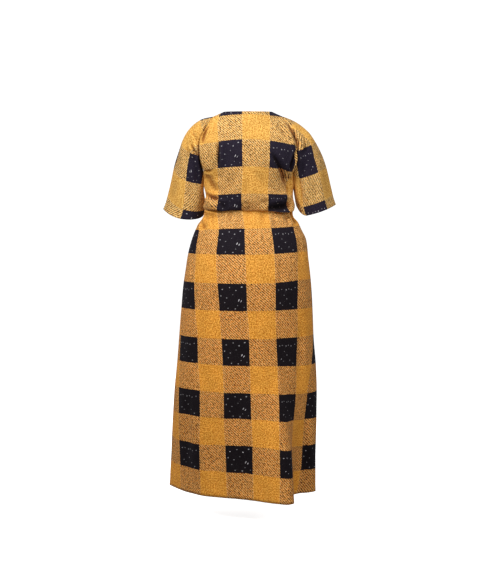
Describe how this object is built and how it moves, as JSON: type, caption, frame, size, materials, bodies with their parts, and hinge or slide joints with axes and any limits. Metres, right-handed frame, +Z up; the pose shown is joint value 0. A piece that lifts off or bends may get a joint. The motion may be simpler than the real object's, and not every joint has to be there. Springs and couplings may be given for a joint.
{
  "type": "grand boubou robe",
  "caption": "Floor-length check cotton robe worn and hollow, round neck, drawn-in waist, flared skirt and wide elbow-length sleeves.",
  "frame": {"origin": "midway between the two high shoulder points of the neck, where the shoulders hold the robe up", "axes": "+Z up, the robe faces -Y so its back is at +Y, +X towards the wearer's left"},
  "size_m": [0.6448, 0.448, 1.4101],
  "materials": {
    "back": "matte printed cotton",
    "front": "matte printed cotton",
    "sleeve_left": "matte printed cotton",
    "sleeve_right": "matte printed cotton"
  },
  "bodies": {
    "root": {"back": "back", "front": "front", "sleeve_left": "sleeve_left", "sleeve_right": "sleeve_right"}
  },
  "joints": []
}
